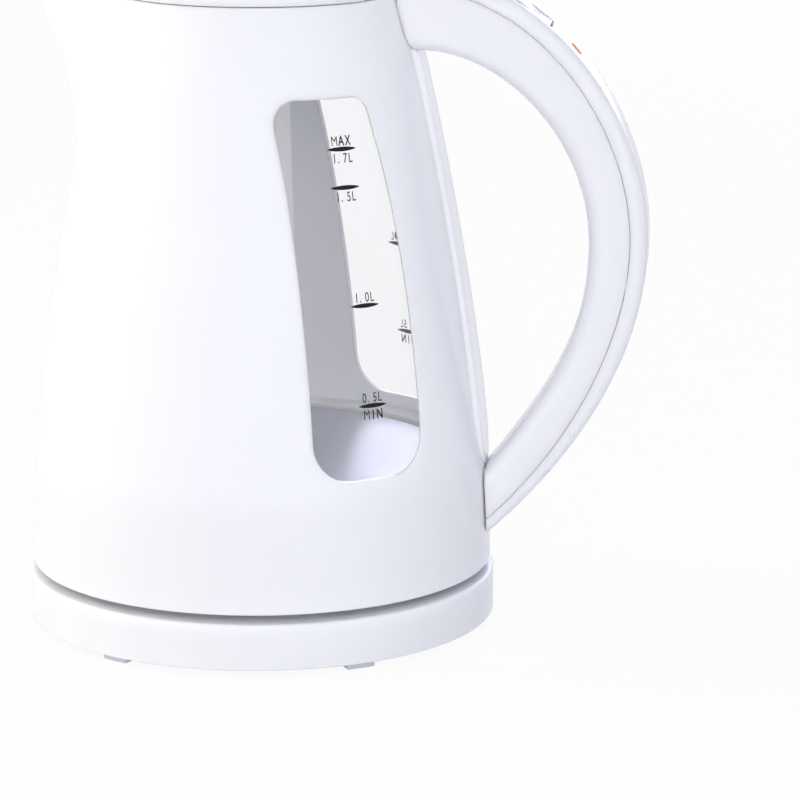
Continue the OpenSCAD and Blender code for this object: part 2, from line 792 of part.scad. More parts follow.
module lid_button() {
    color("white") difference() {
        union() {
            translate([button_x, 0, 0]) rotate_extrude() polygon(concat(
                [[0, 228.6], [button_r, 228.6]], arc([button_r - 1.2, 233], 1.2, 0, 90, 5), [[0, 234.5]]));
            translate([0, stem_y, 0]) rotate([90, 0, 0]) linear_extrude(2 * stem_y) polygon([
                [stem_x[0], 229], [stem_x[0], tongue_z[0]], [stem_x[1] - 4, tongue_z[0]],
                [stem_x[1], tongue_z[0] + 4], [stem_x[1], 229]]);
        }
        translate([9.5, 0, tongue_z[0] - 1]) cylinder(r = 3.4, h = 9);
    }
}

latch_tip = -47.8;

module lid_latch() {
    color("whitesmoke") difference() {
        union() {
            box([latch_tip + 6, -9, tongue_z[0]], [27, 9, tongue_z[1]]);
            box([latch_tip, -7, tongue_z[0]], [latch_tip + 7, 7, tongue_z[1]]);
        }
        translate([0, stem_y + 0.4, 0]) rotate([90, 0, 0]) linear_extrude(2 * stem_y + 0.8) polygon([
            [stem_x[0] - 4, tongue_z[0] - 1], [stem_x[1] - 4 - 1 + 0.4, tongue_z[0] - 1],
            [stem_x[1] - 4 + 4 + 0.4, tongue_z[0] + 4], [stem_x[0] - 4, tongue_z[0] + 4]]);
    }
}

spring_turns = 5;
spring_low = plug_floor + 1.62;
spring_high = tongue_z[0] + 7.9;

// Coil spring under the button
module button_spring() {
    n = spring_turns * 14;
    rw = 0.35;
    pts = [for (i = [0:n]) let (a = 360 * spring_turns * i / n,
        z = spring_low + rw + (spring_high - spring_low - 2 * rw) * i / n)
        for (k = [0:5]) let (b = 60 * k, r = 2.7 + rw * cos(b)) [9.5 + r * cos(a), r * sin(a), z + rw * sin(b)]];
    color("silver") polyhedron(pts, concat(
        [[for (k = [0:5]) k], [for (k = [5:-1:0]) n * 6 + k]],
        [for (i = [0:n - 1]) for (k = [0:5]) let (a = i * 6 + k, b = i * 6 + (k + 1) % 6)
            each [[a, a + 6, b], [b, a + 6, b + 6]]]));
}

base_top_cover();
base_bottom_plate();
base_socket();
socket_contacts();
base_feet();
base_screws();
swivel_ring();
jug_body();
spout();
window_left();
window_right();
heater_plate();
heat_diffuser();
heating_element();
heater_seal();
heater_clamp_ring();
clamp_screws();
kettle_coupler();
coupler_contacts();
thermal_cutouts();
bottom_cover();
bottom_screws();
handle_shell();
handle_cover();
handle_screw();
handle_wires();
steam_seal();
bimetal_carrier();
steam_bimetal();
switch_housing();
indicator_lamp();
indicator_lens();
filter_frame();
filter_mesh();
lid_hinge_pin();
lid_cap();
lid_plug();
lid_gasket();
button_spring();
lid_button();
lid_latch();
switch_rocker();
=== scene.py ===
import bisect
import json
import math

import bmesh
import bpy
from mathutils import Matrix, Vector


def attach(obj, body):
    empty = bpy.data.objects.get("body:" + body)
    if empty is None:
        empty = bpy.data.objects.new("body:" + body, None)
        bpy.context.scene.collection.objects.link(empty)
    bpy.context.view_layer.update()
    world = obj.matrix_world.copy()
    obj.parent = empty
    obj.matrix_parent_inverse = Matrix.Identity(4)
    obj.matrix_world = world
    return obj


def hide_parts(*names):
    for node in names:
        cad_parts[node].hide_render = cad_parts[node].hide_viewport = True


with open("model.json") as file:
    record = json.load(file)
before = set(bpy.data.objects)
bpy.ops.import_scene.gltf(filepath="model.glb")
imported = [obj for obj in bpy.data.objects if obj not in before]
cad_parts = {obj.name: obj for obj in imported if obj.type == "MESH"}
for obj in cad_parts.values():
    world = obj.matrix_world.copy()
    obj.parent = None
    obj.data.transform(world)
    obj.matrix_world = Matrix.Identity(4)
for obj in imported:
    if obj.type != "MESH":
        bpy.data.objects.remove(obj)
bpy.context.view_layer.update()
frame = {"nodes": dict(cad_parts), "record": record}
nodes = frame["nodes"]
scene = bpy.context.scene
scene.view_settings.view_transform = "Standard"
mm = 0.001  # pieces are modelled in millimetres and brought to metres when they are placed


# camera, light and floor

shot = {
    "distance": 1.3,  # from the turning axis, level
    "height": 0.3833,
    "azimuth": 7.75,
    "yaw": 2.15,
    "pitch": 13.27,
    "lens": 170.4,
}


def setCamera():
    turn = math.radians(shot["azimuth"])
    aim = math.radians(shot["yaw"] - shot["azimuth"])
    down = math.radians(shot["pitch"])
    camera = bpy.data.objects.new("camera", bpy.data.cameras.new("camera"))
    scene.collection.objects.link(camera)
    camera.data.sensor_width = 36
    camera.data.lens = shot["lens"]
    far = shot["distance"]
    camera.location = (far * math.sin(turn), -far * math.cos(turn), shot["height"])
    forward = Vector((math.sin(aim) * math.cos(down), math.cos(aim) * math.cos(down), -math.sin(down)))
    camera.rotation_euler = forward.to_track_quat("-Z", "Y").to_euler()
    scene.camera = camera


studio = {
    "worldColour": (0.70, 0.755, 0.96, 1),
    "worldStrength": 0.42,
    "floorSize": 6,
    "floorLow": 0.0002,  # under the feet
    "floorColour": (0.93, 0.93, 0.95, 1),
    "floorGlow": 0.93,  # share of the floor that shows plain white; the rest takes the shadow
    "aim": (0, 0, 0.12),
    "lamps": (
        # name, place, size, power in watts, tint, shows in gloss
        ("left", (-1.6, 0.2, 0.6), (1.0, 1.4), 20, (1, 0.92, 0.7), False),
        ("front", (0.25, -1.8, 0.8), (1.4, 1.4), 21, (1, 0.98, 0.93), False),
        ("back", (0.6, 2.0, 0.7), (1.6, 1.2), 10, (0.8, 0.78, 1), True),
        ("top", (0.2, -0.2, 1.6), (1.4, 1.4), 4, (1, 1, 1), True),
    ),
}


def softLight(name, place, size, power, tint, inGloss):
    lamp = bpy.data.lights.new(name, "AREA")
    lamp.shape = "RECTANGLE"
    lamp.size, lamp.size_y = size
    lamp.energy = power
    lamp.color = tint
    box = bpy.data.objects.new(name, lamp)
    scene.collection.objects.link(box)
    box.location = place
    box.rotation_euler = (Vector(studio["aim"]) - Vector(place)).to_track_quat("-Z", "Y").to_euler()
    box.visible_camera = False
    box.visible_glossy = inGloss


def seenDirectly(tree):
    # 1 for the rays by which the camera sees a thing, also in gloss and through the panes
    path = tree.nodes.new("ShaderNodeLightPath")
    total = path.outputs["Is Camera Ray"]
    for ray in ("Is Glossy Ray", "Is Transmission Ray"):
        either = tree.nodes.new("ShaderNodeMath")
        either.operation = "MAXIMUM"
        tree.links.new(total, either.inputs[0])
        tree.links.new(path.outputs[ray], either.inputs[1])
        total = either.outputs[0]
    return total


def setStudio():
    world = bpy.data.worlds.new("studio")
    scene.world = world
    world.use_nodes = True
    tree = world.node_tree
    tree.nodes.clear()
    out = tree.nodes.new("ShaderNodeOutputWorld")
    mix = tree.nodes.new("ShaderNodeMixShader")
    ambient = tree.nodes.new("ShaderNodeBackground")
    white = tree.nodes.new("ShaderNodeBackground")
    ambient.inputs["Color"].default_value = studio["worldColour"]
    ambient.inputs["Strength"].default_value = studio["worldStrength"]
    white.inputs["Color"].default_value = (1, 1, 1, 1)
    tree.links.new(seenDirectly(tree), mix.inputs[0])
    tree.links.new(ambient.outputs[0], mix.inputs[1])
    tree.links.new(white.outputs[0], mix.inputs[2])
    tree.links.new(mix.outputs[0], out.inputs[0])
    for lamp in studio["lamps"]:
        softLight(*lamp)


def setFloor():
    bm = bmesh.new()
    bmesh.ops.create_grid(bm, x_segments=1, y_segments=1, size=studio["floorSize"])
    mesh = bpy.data.meshes.new("floor")
    bm.to_mesh(mesh)
    bm.free()
    floor = bpy.data.objects.new("floor", mesh)
    scene.collection.objects.link(floor)
    floor.location.z = -studio["floorLow"]
    material = bpy.data.materials.new("paleFloor")
    material.use_nodes = True
    tree = material.node_tree
    shader = tree.nodes["Principled BSDF"]
    shader.inputs["Base Color"].default_value = studio["floorColour"]
    shader.inputs["Roughness"].default_value = 0.8
    glow = tree.nodes.new("ShaderNodeEmission")
    mix = tree.nodes.new("ShaderNodeMixShader")
    share = tree.nodes.new("ShaderNodeMath")
    share.operation = "MULTIPLY"
    share.inputs[1].default_value = studio["floorGlow"]
    tree.links.new(seenDirectly(tree), share.inputs[0])
    tree.links.new(share.outputs[0], mix.inputs[0])
    tree.links.new(shader.outputs[0], mix.inputs[1])
    tree.links.new(glow.outputs[0], mix.inputs[2])
    tree.links.new(mix.outputs[0], tree.nodes["Material Output"].inputs[0])
    mesh.materials.append(material)


setCamera()
setStudio()
setFloor()
print("camera, light and floor set")


# finishes

def finish(name, colour, shade, rough, grain, bump, sockets=()):
    # colour and shade are the two tones of a soft mottle; rough is the range of roughness; grain is in 1/m;
    # sockets are further plain values of the shader
    material = bpy.data.materials.new(name)
    material.use_nodes = True
    tree = material.node_tree
    shader = tree.nodes["Principled BSDF"]
    for socket, value in sockets:
        shader.inputs[socket].default_value = value
    where = tree.nodes.new("ShaderNodeTexCoord")

    def noise(scale, detail):
        node = tree.nodes.new("ShaderNodeTexNoise")
        node.inputs["Scale"].default_value = scale
        node.inputs["Detail"].default_value = detail
        tree.links.new(where.outputs["Object"], node.inputs["Vector"])
        return node.outputs["Fac"]

    tones = tree.nodes.new("ShaderNodeMix")
    tones.data_type = "RGBA"
    tones.inputs["A"].default_value = (*colour, 1)
    tones.inputs["B"].default_value = (*shade, 1)
    tree.links.new(noise(18, 3), tones.inputs["Factor"])
    tree.links.new(tones.outputs["Result"], shader.inputs["Base Color"])
    gloss = tree.nodes.new("ShaderNodeMapRange")
    gloss.inputs["To Min"].default_value, gloss.inputs["To Max"].default_value = rough
    tree.links.new(noise(40, 4), gloss.inputs["Value"])
    tree.links.new(gloss.outputs["Result"], shader.inputs["Roughness"])
    relief = tree.nodes.new("ShaderNodeBump")
    relief.inputs["Strength"].default_value = bump
    relief.inputs["Distance"].default_value = 0.0002
    tree.links.new(noise(grain, 2), relief.inputs["Height"])
    tree.links.new(relief.outputs["Normal"], shader.inputs["Normal"])
    return material


metal = (("Metallic", 1),)


def brushed(name, colour, shade, rough):
    # turned metal, with fine lines round the axis
    material = finish(name, colour, shade, rough, 900, 0.05, metal)
    tree = material.node_tree
    relief = tree.nodes["Bump"]
    lines = tree.nodes.new("ShaderNodeTexWave")
    lines.wave_type = "RINGS"
    lines.rings_direction = "Z"
    lines.inputs["Scale"].default_value = 700
    lines.inputs["Distortion"].default_value = 1.5
    lines.inputs["Detail"].default_value = 3
    lines.inputs["Detail Scale"].default_value = 4
    tree.links.new(tree.nodes["Texture Coordinate"].outputs["Object"], lines.inputs["Vector"])
    tree.links.new(lines.outputs["Fac"], relief.inputs["Height"])
    relief.inputs["Strength"].default_value = 0.04
    return material


def clearTo(lamps, material):
    # glass that the lamps shine through, which brightens what is behind it
    tree = material.node_tree
    mix = tree.nodes.new("ShaderNodeMixShader")
    path = tree.nodes.new("ShaderNodeLightPath")
    clear = tree.nodes.new("ShaderNodeBsdfTransparent")
    clear.inputs["Color"].default_value = (lamps, lamps, lamps, 1)
    tree.links.new(path.outputs["Is Shadow Ray"], mix.inputs[0])
    tree.links.new(tree.nodes["Principled BSDF"].outputs[0], mix.inputs[1])
    tree.links.new(clear.outputs[0], mix.inputs[2])
    tree.links.new(mix.outputs[0], tree.nodes["Material Output"].inputs[0])
    return material


looks = {
    "white_gloss": finish(
        "whiteGloss", (0.885, 0.89, 0.925), (0.873, 0.878, 0.915), (0.15, 0.21), 700, 0.035,
        (("Subsurface Weight", 1), ("Subsurface Radius", (1, 1, 1)), ("Subsurface Scale", 0.003))),
    "clear_window": clearTo(0.96, finish(
        "clearWindow", (0.99, 0.992, 1.0), (0.985, 0.988, 0.995), (0.01, 0.03), 300, 0.004,
        (("Transmission Weight", 1), ("IOR", 1.49)))),
    "natural_plastic": finish(
        "naturalPlastic", (0.80, 0.79, 0.75), (0.76, 0.75, 0.71), (0.38, 0.5), 1400, 0.12),
    "dark_plastic": finish(
        "darkPlastic", (0.030, 0.030, 0.033), (0.042, 0.042, 0.045), (0.35, 0.5), 1500, 0.25),
    "stainless": brushed("stainless", (0.60, 0.62, 0.68), (0.53, 0.55, 0.61), (0.27, 0.38)),
    "zinc_steel": finish(
        "zincSteel", (0.55, 0.57, 0.60), (0.48, 0.49, 0.50), (0.28, 0.42), 900, 0.1, metal),
    "aluminium": brushed("aluminium", (0.74, 0.75, 0.76), (0.66, 0.67, 0.68), (0.34, 0.48)),
    "brass": finish("brass", (0.78, 0.58, 0.26), (0.66, 0.47, 0.20), (0.2, 0.36), 900, 0.08, metal),
    "silicone": finish("silicone", (0.72, 0.70, 0.67), (0.66, 0.64, 0.61), (0.5, 0.62), 1200, 0.15),
    "foot_rubber": finish("footRubber", (0.66, 0.69, 0.76), (0.60, 0.63, 0.70), (0.5, 0.7), 1300, 0.3),
    "lamp_amber": finish(
        "lampAmber", (1.0, 0.40, 0.05), (0.95, 0.32, 0.03), (0.08, 0.14), 300, 0.02,
        (("Transmission Weight", 0.15), ("IOR", 1.49))),
    "wire_sleeve": finish("wireSleeve", (0.50, 0.10, 0.07), (0.40, 0.07, 0.05), (0.4, 0.55), 1200, 0.15),
    "print": finish(
        "printInk", (0.006, 0.007, 0.010), (0.009, 0.010, 0.013), (0.5, 0.6), 1500, 0.05,
        (("Specular IOR Level", 0.2),)),
}
print("finishes mixed")


# tools of the bench

def bezier(points, steps):
    a, b, c, d = (Vector(p) for p in points)
    ts = [i / steps for i in range(steps + 1)]
    return [a * (1 - t) ** 3 + b * 3 * t * (1 - t) ** 2 + c * 3 * t * t * (1 - t) + d * t ** 3 for t in ts]


def arc(centre, radius, start, end, steps=8):
    turns = [math.radians(start + (end - start) * i / steps) for i in range(steps + 1)]
    return [Vector((centre[0] + radius * math.cos(a), centre[1] + radius * math.sin(a))) for a in turns]


def mirrored(points):
    return [Vector((-p[0], p[1])) for p in reversed(points)]


def spun(profile, steps=180, closed=True, turn=360):
    # revolve of (radius, height) points round Z
    bm = bmesh.new()
    ring = [bm.verts.new((p[0], 0, p[1])) for p in profile]
    for a, b in zip(ring, ring[1:]):
        bm.edges.new((a, b))
    if closed:
        bm.edges.new((ring[-1], ring[0]))
    full = turn == 360
    bmesh.ops.spin(bm, geom=bm.verts[:] + bm.edges[:], cent=(0, 0, 0), axis=(0, 0, 1), dvec=(0, 0, 0),
                   angle=math.radians(turn), steps=steps, use_merge=full, use_duplicate=False)
    bmesh.ops.remove_doubles(bm, verts=bm.verts, dist=0.0005)
    if not full:
        bmesh.ops.holes_fill(bm, edges=bm.edges, sides=0)
    bmesh.ops.recalc_face_normals(bm, faces=bm.faces)
    return bm


def prism(outline, axis, low, high):
    # outline in the two directions that follow the axis name, drawn out along it
    bm = bmesh.new()
    side = "xyz".index(axis)
    corners = []
    for p in outline:
        place = [p[0], p[1]]
        place.insert(side, low)
        corners.append(bm.verts.new(place))
    grown = bmesh.ops.extrude_face_region(bm, geom=[bm.faces.new(corners)])
    for part in grown["geom"]:
        if isinstance(part, bmesh.types.BMVert):
            part.co[side] = high
    bmesh.ops.recalc_face_normals(bm, faces=bm.faces)
    return bm


def block(low, high):
    bm = bmesh.new()
    bmesh.ops.create_cube(bm, size=1)
    low, high = Vector(low), Vector(high)
    for v in bm.verts:
        v.co = Vector((low[i] + (v.co[i] + 0.5) * (high[i] - low[i]) for i in range(3)))
    return bm


def drum(radius, low, high, sides=64):
    bm = bmesh.new()
    bmesh.ops.create_cone(bm, cap_ends=True, segments=sides, radius1=radius, radius2=radius, depth=high - low)
    bmesh.ops.translate(bm, verts=bm.verts, vec=(0, 0, (low + high) / 2))
    return bm


def skin(across, along, shape, wrap=False, caps=False):
    # grid of faces laid over shape(u, v), with u and v from 0 to 1
    bm = bmesh.new()
    bmesh.ops.create_grid(bm, x_segments=across, y_segments=along, size=0.5)
    for v in bm.verts:
        v.co = Vector(shape(min(1, max(0, v.co.x + 0.5)), min(1, max(0, v.co.y + 0.5))))
    if wrap:
        bmesh.ops.remove_doubles(bm, verts=bm.verts, dist=0.0005)
    if caps:
        bmesh.ops.holes_fill(bm, edges=bm.edges, sides=0)
    bmesh.ops.recalc_face_normals(bm, faces=bm.faces)
    return bm


def turned(bm, angle, axis="Z", about=(0, 0, 0)):
    bmesh.ops.rotate(bm, verts=bm.verts, cent=about, matrix=Matrix.Rotation(math.radians(angle), 3, axis))
    return bm


def moved(bm, by):
    bmesh.ops.translate(bm, verts=bm.verts, vec=by)
    return bm


def framed(bm, matrix):
    bmesh.ops.transform(bm, verts=bm.verts, matrix=matrix)
    return bm


def together(*parts):
    # several meshes in one, without cutting them
    whole = bmesh.new()
    for part in parts:
        mesh = bpy.data.meshes.new("part")
        part.to_mesh(mesh)
        part.free()
        whole.from_mesh(mesh)
        bpy.data.meshes.remove(mesh)
    return whole


def cut(body, tool, how="DIFFERENCE"):
    holders = []
    for bm in (body, tool):
        mesh = bpy.data.meshes.new("cut")
        bm.to_mesh(mesh)
        bm.free()
        holders.append(bpy.data.objects.new("cut", mesh))
        scene.collection.objects.link(holders[-1])
    work = holders[0].modifiers.new("cut", "BOOLEAN")
    work.solver = "EXACT"
    work.operation = how
    work.object = holders[1]
    result = bmesh.new()
    ready = holders[0].evaluated_get(bpy.context.evaluated_depsgraph_get())
    result.from_mesh(ready.to_mesh())
    ready.to_mesh_clear()
    for holder in holders:
        mesh = holder.data
        bpy.data.objects.remove(holder)
        bpy.data.meshes.remove(mesh)
    return result


def softened(bm, pick, width, segments=2):
    edges = [e for e in bm.edges if pick(e)]
    bmesh.ops.bevel(bm, geom=edges, offset=width, offset_type="OFFSET", affect="EDGES", segments=segments,
                    profile=0.5, material=-1, clamp_overlap=True)
    return bm


def steep(edge, angle=40):
    return len(edge.link_faces) == 2 and edge.calc_face_angle(0) > math.radians(angle)


def addPiece(name, bm, look, body, replaced=(), crease=30):
    bmesh.ops.remove_doubles(bm, verts=bm.verts, dist=0.0008)
    bmesh.ops.dissolve_degenerate(bm, edges=bm.edges, dist=0.0005)
    bmesh.ops.scale(bm, vec=(mm, mm, mm), verts=bm.verts)
    mesh = bpy.data.meshes.new(name)
    bm.to_mesh(mesh)
    bm.free()
    mesh.shade_smooth()
    mesh.set_sharp_from_angle(angle=math.radians(crease))
    mesh.materials.append(looks[look])
    piece = bpy.data.objects.new(name, mesh)
    scene.collection.objects.link(piece)
    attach(piece, body)
    if replaced:
        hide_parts(*replaced)
    return piece


# jug

jug = {
    "curve": ((80.8, 30), (80.8, 83), (62.5, 180), (50.5, 224)),  # outer face, as radius and height
    "bottom": 21.6,
    "rim": 222,
    "wall": 2.5,
    "ledge": 60.5,
    "ledgeRadius": 67,
    "chamberTop": 58,
    "edge": 0.5,
    "lip": 0.7,
    "steps": 320,
    "filterOpening": (186, 212.5, 30),  # from and to this height, over these degrees of the wall
    "latchPocket": ((-49.9, -8, 215.6), (-40, 8, 219.4)),
    "handleSocket": ((45, -9.2, 37.8), (85, 9.2, 56.2)),
    "steamHole": (5, 20, (42.8, 0, 212.5)),  # radius, length and start
}
jugCurve = bezier(jug["curve"], 400)
jugHeights = [p.y for p in jugCurve]


def jugRadius(z):
    k = bisect.bisect_left(jugHeights, z)
    if k == 0:
        return jugCurve[0].x
    if k == len(jugCurve):
        return jugCurve[-1].x
    a, b = jugCurve[k - 1], jugCurve[k]
    return a.x + (b.x - a.x) * (z - a.y) / (b.y - a.y)


def jugSide(low, high, off, steps):
    heights = [low + (high - low) * i / steps for i in range(steps + 1)]
    return [Vector((jugRadius(z) + off, z)) for z in heights]


spout = {
    "reach": 31.2,
    "start": 166,
    "half": 40,  # degrees
    "keel": 9,  # rounds the keel, in square degrees
    "channelLow": 184.5,
}


def spoutOut(angle, z, inset=0):
    grow = max(0, (z - spout["start"] - inset * 2) / (jug["rim"] - spout["start"])) ** 1.5
    side = max(0, 1 - math.sqrt(angle * angle + spout["keel"]) / spout["half"]) ** 1.7
    return spout["reach"] * grow * side - inset


def keelAngle(x, y):
    return math.degrees(math.atan2(y, -x))


spine = {
    "low": 57,
    "proud": 0.3,
    "shoulder": 1.3,  # width of the slope beside the flat
    "halves": ((80, 14.5), (150, 12.5), (222, 11.5)),  # half width of the flat at these heights
    "foot": ((57, 4), (60, 11), (66, 14.6), (80, 14.5)),  # and under them
}
spineFoot = bezier(spine["foot"], 24)


def spineHalf(z):
    # half width of the flat
    (low, wide), (middle, less), (high, narrow) = spine["halves"]
    if z < low:
        foot = spineFoot
        k = min(range(24), key=lambda i: abs((foot[i].x + foot[i + 1].x) / 2 - z))
        a, b = foot[k], foot[k + 1]
        return a.y + (b.y - a.y) * (z - a.x) / (b.x - a.x)
    if z < middle:
        return wide + (less - wide) * (z - low) / (middle - low)
    return less + (narrow - less) * (z - middle) / (high - middle)


def ridge(grown=0):
    # the spine as a closed bar, sunk into the wall behind its flat
    def section(u, v):
        z = spine["low"] + (jug["rim"] - spine["low"]) * v
        half, top = spineHalf(z) + grown, jugRadius(z) + spine["proud"] + grown
        wide = half + spine["shoulder"]
        sunk = math.sqrt(jugRadius(z) ** 2 - wide ** 2) - 0.4
        slope = [(-wide, sunk), (-half - 0.45, top - 0.42), (-half - 0.2, top - 0.14), (-half + 0.25, top)]
        flat = [(half * (k / 4 - 1) * 0.9, top) for k in range(1, 8)]
        behind = [(wide, sunk - 1.2), (-wide, sunk - 1.2)]
        ring = slope + flat + [(-y, x) for y, x in reversed(slope)] + behind
        k = round(u * len(ring)) % len(ring)
        return ring[k][1], ring[k][0], z
    return skin(21, 80, section, wrap=True, caps=True)


window = {
    "angle": 55,
    "bottom": 65.5,
    "top": 193,
    "corner": 13,
    "low": 60,  # the sheet that the panes are cut from
    "high": 200,
    "sweep": 56,  # degrees
    "proud": 0.02,
    "bond": 0.05,  # the panes' edges run this far into the wall, whose cut face shows through them
}


def windowOutline(g):
    low, high, c = window["bottom"], window["top"], window["corner"]
    right, left = 19.5 + g, -22.2 - g
    rightSide = ((right, 80), (right - 0.1, 115), (right + 0.7, 155), (right + 3.7, high - 10))
    return (arc((right - c, low - g + c), c, -90, 0, 12)
            + bezier(rightSide, 30)
            + arc((15 + g, high + g - 9), 8, 10, 100, 9)
            + arc((-4 - g, high + g - 8), 7, 100, 165, 7)
            + bezier(((-12.4 - g, high - 14), (-19.5 - g, 150), (left, 112), (left, 80)), 30)
            + arc((left + c, low - g + c), c, 180, 270, 12))


def windowPrism(side, g):
    # the window's opening, grown by g, drawn out from near the axis to outside the wall
    bm = turned(prism(windowOutline(g), "x", 35, 95), window["angle"])
    if side < 0:
        bmesh.ops.scale(bm, vec=(1, -1, 1), verts=bm.verts)
        bmesh.ops.reverse_faces(bm, faces=bm.faces)
    return bm


def makeJug():
    r0 = jugRadius(0)
    edge, lip, wall, rim = jug["edge"], jug["lip"], jug["wall"], jug["rim"]
    top = jugRadius(rim)
    profile = (
        [Vector((r0 - wall - 1.6, jug["bottom"]))]
        + arc((r0 - edge, jug["bottom"] + edge), edge, -90, 0, 5)
        + jugSide(26, rim - lip, 0, 96)
        + arc((top - lip, rim - lip), lip, 18, 90, 4)
        + arc((top - wall + 0.5, rim - 0.5), 0.5, 90, 180, 3)
        + list(reversed(jugSide(jug["ledge"], rim - 2, -wall, 60)))
        + [Vector((jug["ledgeRadius"], jug["ledge"])), Vector((jug["ledgeRadius"], jug["chamberTop"]))]
        + list(reversed(jugSide(26, jug["chamberTop"], -wall, 10)))
        + [Vector((r0 - wall - 0.2, 24.6))])
    shell = spun(profile, jug["steps"])
    for v in shell.verts:  # the spout grows out of the outer face
        radius = math.hypot(v.co.x, v.co.y)
        if v.co.z > spout["start"] and radius > jugRadius(v.co.z) - lip - 0.3:
            out = max(0, spoutOut(keelAngle(v.co.x, v.co.y), v.co.z))
            v.co.x *= (radius + out) / radius
            v.co.y *= (radius + out) / radius
    shell = cut(shell, ridge(), "UNION")

    def channel(u, v):
        low = spout["channelLow"]
        z = low + (rim + 2 - low) * v
        grow = spout["reach"] * ((min(z, rim) - spout["start"] - 2 * wall) / (rim - spout["start"])) ** 1.5
        reach = (1 - ((wall + 0.3) / grow) ** (1 / 1.7)) * spout["half"]
        half = math.sqrt(reach ** 2 - spout["keel"])
        steps = 24
        k = round(u * (2 * steps + 2)) % (2 * steps + 2)
        a = half * (2 * k / steps - 1) if k <= steps else half * (1 - 2 * (k - steps - 1) / steps)
        base = jugRadius(min(z, rim))
        r = base + (max(0.3, spoutOut(a, min(z, rim), wall)) if k <= steps else 0)
        return -r * math.cos(math.radians(a)), r * math.sin(math.radians(a)), z

    low, high, wide = jug["filterOpening"]
    sheet = jugSide(low, high, 0.3, 20) + list(reversed(jugSide(low, high, -wall - 1, 20)))
    radius, length, start = jug["steamHole"]
    tools = [
        skin(50, 24, channel, wrap=True, caps=True),
        windowPrism(1, 0),
        windowPrism(-1, 0),
        turned(spun(sheet, 24, turn=wide), 180 - wide / 2),
        block(*jug["latchPocket"]),
        block(*jug["handleSocket"]),
        moved(turned(drum(radius, 0, length), 90, "Y"), start),
    ]
    addPiece("jugShell", cut(shell, together(*tools)), "white_gloss", "kettle", ("jug_body", "spout"))


hinge = {
    "at": (46, 226),
    "deckX": 40.6,
    "deckTop": 221.5,
    "deckLow": 219.5,
    "deckEdge": 0.5,
    "apronLow": 209,
    "apronThick": 2,
    "earRadius": 4,
    "earNear": 10,
    "earFar": 14.5,
    "earEdge": 0.5,
    "pin": 1.52,
}


def makeHinge():
    # flat behind the lid, the apron under it and the two ears for the pin
    x, z = hinge["at"]
    front, top, low = hinge["deckX"], hinge["deckTop"], hinge["deckLow"]
    inside = jugRadius(low) - jug["wall"] + 0.4
    deck = cut(drum(inside, low, top, 160), block((front, -40, 200), (60, 40, 240)), "INTERSECT")
    apron = cut(drum(inside, hinge["apronLow"], top - 0.6, 160),
                block((front, -40, 200), (front + hinge["apronThick"], 40, 240)), "INTERSECT")

    def deckFront(edge):
        return steep(edge) and max(v.co.x for v in edge.verts) < front + 0.01 and edge.calc_length() > 30

    def earTop(edge):
        return steep(edge, 50) and min(v.co.z for v in edge.verts) > top - 0.9

    softened(deck, deckFront, hinge["deckEdge"], 3)
    ears = []
    for side in (-1, 1):
        near, far = sorted((side * hinge["earNear"], side * hinge["earFar"]))
        r = hinge["earRadius"]
        outline = arc((x, z), r, 0, 180, 28) + [Vector((x - r, top - 1)), Vector((x + r, top - 1))]
        ear = prism(outline, "y", near, far)
        ear = cut(ear, drum(jugRadius(jug["rim"]) - 0.5, 200, 240, 200), "INTERSECT")
        softened(ear, earTop, hinge["earEdge"], 3)
        ears.append(cut(ear, moved(turned(drum(hinge["pin"], -20, 20, 40), 90, "X"), (x, 0, z))))
    addPiece("hingeDeck", together(deck, apron, *ears), "white_gloss", "kettle")


def makeWindows():
    low, high, sweep = window["low"], window["high"], window["sweep"]
    outer = jugSide(low, high, window["proud"], 90)
    inner = jugSide(low, high, -jug["wall"] - 0.1, 90)
    sheet = turned(spun(outer + list(reversed(inner)), 64, turn=sweep), window["angle"] - sweep / 2)
    pane = cut(sheet, windowPrism(1, window["bond"]), "INTERSECT")
    other = pane.copy()
    bmesh.ops.scale(other, vec=(1, -1, 1), verts=other.verts)
    bmesh.ops.reverse_faces(other, faces=other.faces)
    addPiece("windowRight", pane, "clear_window", "kettle", ("window_right",))
    addPiece("windowLeft", other, "clear_window", "kettle", ("window_left",))


marks = {
    "width": 10.8,
    "height": 1.5,
    "thick": 0.04,
    "letter": 4.5,
    "narrow": 0.72,
    "number": (2.0, 0.01),  # width of a letter's cell, and extra weight of its strokes
    "word": (2.5, 0.09),
    "lighterM": 0.1,  # taken off the weight of an M, whose strokes would close up
    "stopLeft": 0.3,  # a full stop keeps to the left by this share of its cell
    "wordsOver": 1.2,
    "wordsUnder": -4.5,
    "rows": (
        # height of the oval, its angle on the left side, words over it, words under it
        (90.4, -53, "0.5L", "MIN"),
        (123.7, -53, "1.0L", ""),
        (162.9, -56, "", "1.5L"),
        (175.5, -56, "MAX", "1.7L"),
    ),
    "other": 104,  # the print of the right side is the same one, turned by this
}


